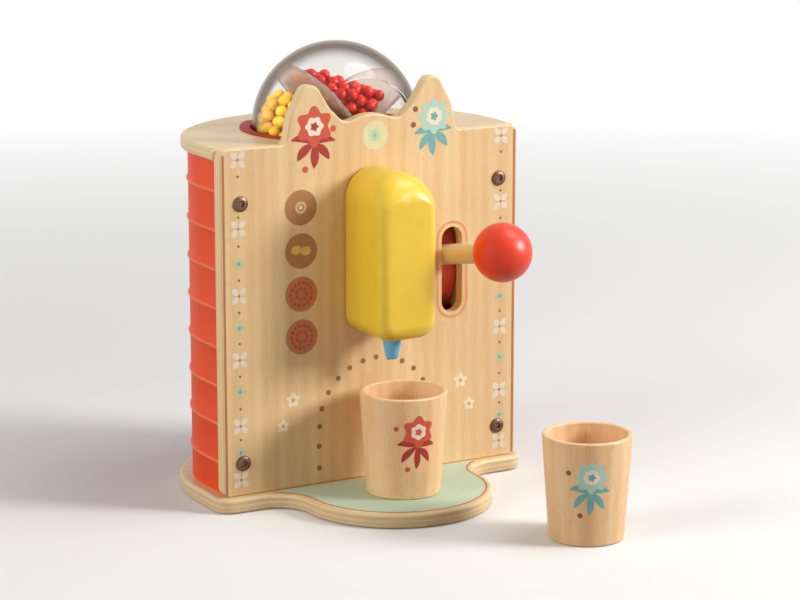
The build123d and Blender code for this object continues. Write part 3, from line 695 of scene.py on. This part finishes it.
def chamber_vanes(chamber):
    """The directions of a chamber's two vanes as (x, y, z); each also points away from the other vane."""
    start = np.radians(first_vane + chamber * 90)
    return np.array([[np.cos(start), 0, np.sin(start)], [-np.sin(start), 0, np.cos(start)]])


def bead_starts(chamber, fill, lean):
    """Closest packing of the chamber below a sloping line, as (n, 3) points about the drum's middle.

    Row, place and layer i, j, k give (outward, along, aside) = (j + i/2 + k/2, i * sqrt(3)/2 + k / sqrt(12),
    k * sqrt(2/3)) steps, where the shifts by i/2, k/2 and k / sqrt(12) alternate.
    """
    layer, row, place = np.meshgrid(np.arange(10), np.arange(-8, 9), np.arange(10), indexing="ij")
    depth = bead_step * np.sqrt(3) / 2
    outward = bead_vane_gap + (place + (row % 2) / 2 + (layer % 2) / 2) * bead_step
    aside = bead_vane_gap + layer * bead_step * np.sqrt(2 / 3)
    along = row * depth + (layer % 2) * depth / 3
    first, second = chamber_vanes(chamber)
    points = outward[..., None] * first + aside[..., None] * second + along[..., None] * [0, 1, 0]
    points = points.reshape(-1, 3)
    radius = np.hypot(points[:, 0], points[:, 2])
    inside = np.hypot(radius - arc_middle, points[:, 1]) < bead_reach
    inside &= np.abs(points[:, 1]) < bead_end
    inside &= radius > bead_hub_gap
    inside &= points[:, 2] + points[:, 0] * np.tan(np.radians(lean)) < fill - bead_radius
    return points[inside]


def settle(points, chamber, seed, falls=90, rests=160):
    """Shakes the beads loose and lets them drop, then pushes them apart, always inside their chamber.

    Each step moves all beads down a little, pushes overlapping ones apart by 0.4 of the overlap each, and puts
    beads back that left the hull, the two vanes or the hub.
    """
    shake, drop, push = 1.1 * mm, 0.12 * mm, 0.4
    points = points + np.random.default_rng(seed).normal(0, shake, points.shape)
    vanes = chamber_vanes(chamber)
    for step in range(falls + rests):
        if step < falls:
            points[:, 2] -= drop
        gaps = points[:, None] - points[None]
        distance = np.linalg.norm(gaps, axis=2) + np.eye(len(points))
        overlap = np.clip(2 * bead_radius - distance, 0, None) * (1 - np.eye(len(points)))
        points += np.sum(gaps / distance[..., None] * overlap[..., None], axis=1) * push
        for vane in vanes:
            points += np.clip(bead_vane_gap - points @ vane, 0, None)[:, None] * vane
        radius = np.hypot(points[:, 0], points[:, 2])
        points[:, [0, 2]] *= np.clip(bead_hub_gap / radius, 1, None)[:, None]
        radius = np.hypot(points[:, 0], points[:, 2])
        beyond = np.hypot(radius - arc_middle, points[:, 1])
        back = np.where(radius > arc_middle, np.clip(bead_reach / beyond, None, 1), 1)
        points[:, [0, 2]] *= ((arc_middle + (radius - arc_middle) * back) / radius)[:, None]
        points[:, 1] = np.clip(points[:, 1] * back, -bead_end, bead_end)
    return points


def bead_mesh(points, around=10, bands=6):
    """Spheres about many middles: (sin v cos u, sin v sin u, cos v) on a coarse grid, with closed poles."""
    ring = round_about(np.linspace(0, 2 * np.pi, around, endpoint=False))
    v = np.linspace(0, np.pi, bands + 1)[1:-1, None]
    grid = np.dstack((np.sin(v)[..., None] * ring, np.repeat(np.cos(v), around, 1))).reshape(-1, 3)
    ball = np.concatenate((grid, [[0, 0, 1], [0, 0, -1]])) * bead_radius
    here = np.arange(around)
    after = (here + 1) % around
    last = len(grid) - around
    quads = np.array(grid_faces(bands - 1, around, flipped=True))
    caps = np.concatenate((
        np.stack((np.full(around, len(grid)), here, after), 1),
        np.stack((np.full(around, len(grid) + 1), after + last, here + last), 1),
    ))
    moved = (points[:, None] + ball[None] + [0, drum_y, drum_z]).reshape(-1, 3)
    shift = (np.arange(len(points)) * len(ball))[:, None, None]
    return moved, (shift + quads).reshape(-1, 4).tolist() + (shift + caps).reshape(-1, 3).tolist()


def fill_chamber(name, chamber, fill, lean, bright, deep, seed):
    """Beads of one colour: their heap, and a glossy plastic whose tone differs a little from bead to bead."""
    material, tree, shader = new_finish(name.replace("heap", "bead_gloss"))
    where = add(tree, "ShaderNodeTexCoord").outputs["Object"]
    cell = add(tree, "ShaderNodeTexVoronoi", {"Vector": where, "Scale": 1 / (2 * bead_radius)})
    tone = add(tree, "ShaderNodeSeparateXYZ", {"Vector": cell.outputs["Color"]})
    colour = add(
        tree, "ShaderNodeMix", {"Factor": tone, "A": linear(deep), "B": linear(bright)}, data_type="RGBA",
    )
    feed(shader, {"Base Color": colour.outputs["Result"], "Roughness": 0.3, "Specular IOR Level": 0.3})
    heap = settle(bead_starts(chamber, fill * mm, lean), chamber, seed)
    piece = join_parts(name, [bead_mesh(heap)], material, "drum", 80)
    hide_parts(name.replace("heap", "beads"))


# Polished beads: bright in the two upper chambers, quieter in the lower ones.
fill_chamber("red_heap", 0, 31.0, 24.0, "#C41E06", "#980F03", 3)
fill_chamber("yellow_heap", 1, 29.0, 0.0, "#F5D23F", "#E6B22C", 5)
fill_chamber("brown_heap", 2, -24.0, 0.0, "#A9764E", "#8A5935", 7)
fill_chamber("green_heap", 3, -12.0, 0.0, "#7FB79A", "#5F9C80", 9)

# ---- axle, steel screws and springs ----
# Plated steel: the drum's axle, the lever's pin and every hidden screw; the click spring and the reed are
# hardened strip with a bluer, duller face.


def metal(name, tint, roughness):
    """Drawn steel: metallic, with fine marks 0.4 mm apart that change its roughness."""
    material, tree, shader = new_finish(name)
    where = add(tree, "ShaderNodeTexCoord").outputs["Object"]
    marks = add(tree, "ShaderNodeTexNoise", {"Vector": where, "Scale": 1 / (0.4 * mm), "Detail": 1.0})
    uneven = add(
        tree, "ShaderNodeMapRange", {"Value": marks, "To Min": roughness - 0.08, "To Max": roughness + 0.08},
    )
    feed(shader, {"Roughness": uneven, "Base Color": linear(tint), "Metallic": 1.0})
    return material


# Zinc plate: pale and clean. Spring strip: darker, slightly blue.
plated_steel = metal("zinc_plated_steel", "#C9CBCB", 0.3)
dress(
    plated_steel, "drum_axle", "lever_pin", "base_screws", "bearing_screws", "click_screw", "head_screws",
    "reed_screw",
)
spring_strip = metal("spring_steel_strip", "#8F959C", 0.36)
dress(spring_strip, "click_spring", "rattle_reed")

# ---- washer, click wheel and felt pad ----
# The washer and the click wheel are moulded nylon; the pad behind the brew head is wool felt, die cut. The
# washer keeps the drum off the panel, the pad lets the head slide without a scratch.


def fine_grained(name, main, deep, grain, roughness, relief_depth, fuzz=0.0):
    """A matt material whose tone and surface vary with one noise of the given grain size."""
    material, tree, shader = new_finish(name)
    where = add(tree, "ShaderNodeTexCoord").outputs["Object"]
    speck = add(tree, "ShaderNodeTexNoise", {"Vector": where, "Scale": 1 / grain, "Detail": 3.0})
    colour = add(
        tree, "ShaderNodeMix", {"Factor": speck, "A": linear(deep), "B": linear(main)}, data_type="RGBA",
    )
    relief = add(tree, "ShaderNodeBump", {"Height": speck, "Strength": 0.5, "Distance": relief_depth})
    feed(shader, {
        "Base Color": colour.outputs["Result"], "Normal": relief, "Roughness": roughness, "Sheen Weight": fuzz,
    })
    return material


# Nylon: off-white and waxy. Wool felt: fawn, dull and slightly fuzzy.
nylon = fine_grained("moulded_nylon", "#EFEDE6", "#E2DFD6", 0.8 * mm, 0.45, 0.02 * mm)
dress(nylon, "front_washer", "click_wheel")
wool_felt = fine_grained("wool_felt", "#C9B79B", "#A8957A", 0.5 * mm, 0.95, 0.15 * mm, 0.4)
dress(wool_felt, "felt_pad")

# ---- brew head and spout ----
# The head is a block of beech, sprayed yellow, its crown rounded over far more than its sides; it slides up
# and down over the cup. The turned spout under it is painted blue.
crown_radius, foot_radius = 18 * mm, 10 * mm
crown_edge, side_edge, foot_edge, back_edge = 17 * mm, 6.5 * mm, 8.5 * mm, 0.7 * mm


def head_block(low, high, arc_count=14, edge_count=12):
    """A rounded block between two corners: its outline from the front, carried back to the panel.

    The outline is four arcs joined by straight runs, with normals (cos a, sin a). Its front edge is rounded by
    a quarter circle of radius e(a): side_edge, growing to crown_edge with sin a upwards and to foot_edge with
    it downwards. At the edge's angle b, a point lies e * (1 - cos b) in from the outline and e * (1 - sin b)
    behind the front face.
    """
    quarter = np.linspace(0, np.pi / 2, arc_count)
    normal = round_about(np.concatenate([quarter + corner * np.pi / 2 for corner in range(4)]))
    radius = np.repeat([crown_radius, crown_radius, foot_radius, foot_radius], arc_count)[:, None]
    corner_point = [[high.x, high.z], [low.x, high.z], [low.x, low.z], [high.x, low.z]]
    inward = [[-1, -1], [1, -1], [1, 1], [-1, 1]]
    middle = np.repeat(corner_point, arc_count, 0) + np.repeat(inward, arc_count, 0) * radius
    outline = middle + radius * normal
    up = np.clip(normal[:, 1], 0, 1)
    down = np.clip(-normal[:, 1], 0, 1)
    edge = side_edge + (crown_edge - side_edge) * up + (foot_edge - side_edge) * down
    flat = np.zeros((1, len(outline)))
    bend = np.linspace(0, np.pi / 2, edge_count)[:, None]
    inset = np.concatenate((flat + back_edge, flat, edge * (1 - np.cos(bend))))
    y = np.concatenate((flat + high.y, flat + high.y - back_edge, low.y + edge * (1 - np.sin(bend))))
    plan = outline[None] - inset[..., None] * normal[None]
    points = np.stack((plan[..., 0], y, plan[..., 1]), 2).reshape(-1, 3)
    back = list(range(len(outline)))
    front = list(range(len(points) - len(outline), len(points)))
    return points, grid_faces(len(y), len(outline)) + [front, back[::-1]]


# Yellow and blue lacquer: smooth, opaque and softly glossy. The blue's clouds are 2.5 mm wide.
head_yellow = paint("yellow_lacquer", "#F2D23E", "#EBC131", 0.34)
head_piece = join_parts("yellow_head", [head_block(*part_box("brew_head"))], head_yellow, "head", 60)
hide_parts("brew_head")
spout_blue = paint("blue_lacquer", "#6CBFE0", "#50A6CF", 0.36, 0.4 / mm)
dress(spout_blue, "spout")

# ---- lever ----
# A beech arm through the slot carries a red ball knob. Behind the panel it sits in a red wheel that clatters
# over the steel reed.

# The arm's wood is pale, its grain along it. The knob's lacquer is bright, the wheel's stain duller.
arm_beech = wood("turned_beech_arm", "#FAEFCE", "#F0DDB2", 1, 8 * mm)
dress(arm_beech, "lever_arm")
knob_red = paint("red_ball_lacquer", "#E83A12", "#DA2E0C", 0.4)
dress(knob_red, "lever_knob")
wheel_red = paint("dark_red_stain", "#F26450", "#DC5642", 0.5)
dress(wheel_red, "lever_wheel")

# ---- cups ----
# Two cups turned from beech, their sides sloping straight to a rounded rim; each carries one printed blossom.
# They are lacquered, and their grain runs upright: warm and honey-toned, with soft narrow bands.
cup_beech = wood("turned_beech_cup", "#F4D2A2", "#E4B079", 2, 9 * mm)
dress(cup_beech, "tray_cup", "loose_cup")
cup_foot, cup_mouth, cup_height = 21 * mm, 25.2 * mm, 59.5 * mm


def on_cup(x, y, z, facing):
    """The way to lay prints on a cup that stands at (x, y, z), their middle turned to the given angle.

    At height v the cup's radius is r = foot + (mouth - foot) * v / height; u mm across is u / r round the cup.
    """
    def place(flat, lift):
        radius = cup_foot + (cup_mouth - cup_foot) * flat[:, 1] / cup_height + lift
        turn = np.radians(facing) + flat[:, 0] / radius
        return np.column_stack((x + radius * np.sin(turn), y - radius * np.cos(turn), z + flat[:, 1]))

    return place


def cup_blossom(petal_ink, heart_ink, leaf_ink, berry_ink, petals):
    """One blossom over five leaves and two berries, 30 mm tall, about the middle of the cup's height."""
    bloom, foot = np.array([1.0, 40.5]) * mm, np.array([0.0, 31.5]) * mm
    motifs = []
    for x, rise, bow in (
        (-11.5, 33, -0.15), (-8.5, 22.5, -0.1), (0, 18.5, 0.05), (8, 22, 0.1), (11.5, 32, 0.15),
    ):
        motifs.append((leaf_ink, low_ink, leaf(foot, np.array([x, rise]) * mm, 3.9 * mm, bow)))
    motifs += [
        (petal_ink, mid_ink, rosette(bloom, 8.4 * mm, petals, 0.15, -np.pi / 2, rings=6)),
        (cream, high_ink, rosette(bloom, 4.4 * mm, petals, 0.08, -np.pi / 2, rings=3)),
        (heart_ink, top_ink, rosette(bloom, 1.9 * mm, 5, 0.2)),
    ]
    for x, rise in ((-5.0, 18.5), (-12.0, 42.5)):
        motifs.append((berry_ink, low_ink, rosette(np.array([x, rise]) * mm, 1.5 * mm, sides=16)))
    return motifs


tray_blossom = cup_blossom(orange_red, orange_red, deep_red, orange_red, 6)
screen_print("tray_cup_print", "cup_on_tray", tray_blossom, on_cup(0.0, -35.5 * mm, base_top, -11))
loose_blossom = cup_blossom(mint, teal, teal, "#7E5A45", 8)
screen_print("loose_cup_print", "cup_beside", loose_blossom, on_cup(58 * mm, -138 * mm, 0.0, -29.7))

# ---- floor, lamps and camera ----
# A pale studio floor that fades into white, and even white light from all round. A soft window lamp stands at
# the right of the front, a weak one hangs above, and a broad one at the left doesn't show on gloss.
floor_reach = 6.0
floor_mesh = bpy.data.meshes.new("studio_floor")
floor_mesh.from_pydata(
    [(x * floor_reach, y * floor_reach, 0) for x, y in ((-1, -1), (1, -1), (1, 1), (-1, 1))],
    [], [(0, 1, 2, 3)],
)
floor = bpy.data.objects.new("studio_floor", floor_mesh)
bpy.context.scene.collection.objects.link(floor)

# Matt white paper: only the toy's soft shadow shows on it, and it turns to plain white away from the object.
# It throws back less light than it shows, so that shadows on the toy stay deep.
paper, paper_tree, paper_shader = new_finish("white_paper")
white = (1, 1, 1, 1)


def seen_directly(tree):
    """1 for rays from the camera, in a reflection or through clear plastic, and 0 for light that spreads."""
    path = add(tree, "ShaderNodeLightPath").outputs
    two = add(tree, "ShaderNodeMath", {0: path["Is Camera Ray"], 1: path["Is Glossy Ray"]}, operation="ADD")
    return add(
        tree, "ShaderNodeMath", {0: two, 1: path["Is Transmission Ray"]}, operation="ADD", use_clamp=True,
    )


paper_seen = seen_directly(paper_tree)
paper_where = add(paper_tree, "ShaderNodeTexCoord").outputs["Object"]
paper_far = add(paper_tree, "ShaderNodeVectorMath", {0: paper_where}, operation="LENGTH").outputs["Value"]
paper_fade = add(paper_tree, "ShaderNodeMapRange", {"Value": paper_far, "From Min": 0.3, "From Max": 1.4})
paper_share = add(paper_tree, "ShaderNodeMath", {0: paper_fade, 1: paper_seen}, operation="MULTIPLY")
paper_colour = add(
    paper_tree, "ShaderNodeMix", {"Factor": paper_seen, "A": linear("#84725E"), "B": linear("#E6E5E3")},
    data_type="RGBA",
)
paper_lift = add(paper_tree, "ShaderNodeMath", {0: paper_seen, 1: 0.04}, operation="MULTIPLY")
feed(paper_shader, {
    "Base Color": paper_colour.outputs["Result"], "Roughness": 0.9,
    "Emission Color": white, "Emission Strength": paper_lift,
})
paper_white = add(paper_tree, "ShaderNodeEmission", {"Color": white, "Strength": 1.0})
paper_both = add(paper_tree, "ShaderNodeMixShader", {0: paper_share, 1: paper_shader, 2: paper_white})
feed(paper_tree.get_output_node("ALL"), {"Surface": paper_both})
floor_mesh.materials.append(paper)

world = bpy.data.worlds.new("studio_white")
world.use_nodes = True
world.node_tree.nodes.clear()
world_seen = seen_directly(world.node_tree)
world_level = add(world.node_tree, "ShaderNodeMapRange", {"Value": world_seen, "To Min": 0.21, "To Max": 1.0})
world_light = add(world.node_tree, "ShaderNodeBackground", {"Color": white, "Strength": world_level})
add(world.node_tree, "ShaderNodeOutputWorld", {"Surface": world_light})
bpy.context.scene.world = world

lamp_aim = Vector((0, 0, 0.12))


def lamp(name, place, size, power, mirrored):
    """A round soft lamp that faces the toy's middle. Only a mirrored one shows as a highlight on gloss."""
    light = bpy.data.lights.new(name, "AREA")
    light.shape = "DISK"
    light.size = size
    light.energy = power
    holder = bpy.data.objects.new(name, light)
    holder.location = place
    holder.rotation_euler = (lamp_aim - Vector(place)).to_track_quat("-Z", "Y").to_euler()
    holder.visible_camera = False
    holder.visible_glossy = mirrored
    bpy.context.scene.collection.objects.link(holder)


lamp("window_lamp", (1.18, -0.98, 0.77), 0.55, 26.0, True)
lamp("side_lamp", (-1.5, -0.16, 0.65), 0.9, 14.0, False)
lamp("top_lamp", (0.55, -0.25, 1.35), 0.8, 6.0, True)

camera_yaw, camera_pitch, camera_distance = np.radians(29.7), np.radians(12.5), 1.65
camera_target = Vector((0.018, 0.0, 0.112))
looking = Vector((
    np.sin(camera_yaw) * np.cos(camera_pitch), np.cos(camera_yaw) * np.cos(camera_pitch), -np.sin(camera_pitch)
))
camera_data = bpy.data.cameras.new("view")
camera_data.lens = 128
camera = bpy.data.objects.new("view", camera_data)
camera.location = camera_target - looking * camera_distance
camera.rotation_euler = looking.to_track_quat("-Z", "Y").to_euler()
bpy.context.scene.collection.objects.link(camera)
bpy.context.scene.camera = camera
bpy.context.scene.view_settings.view_transform = "Standard"
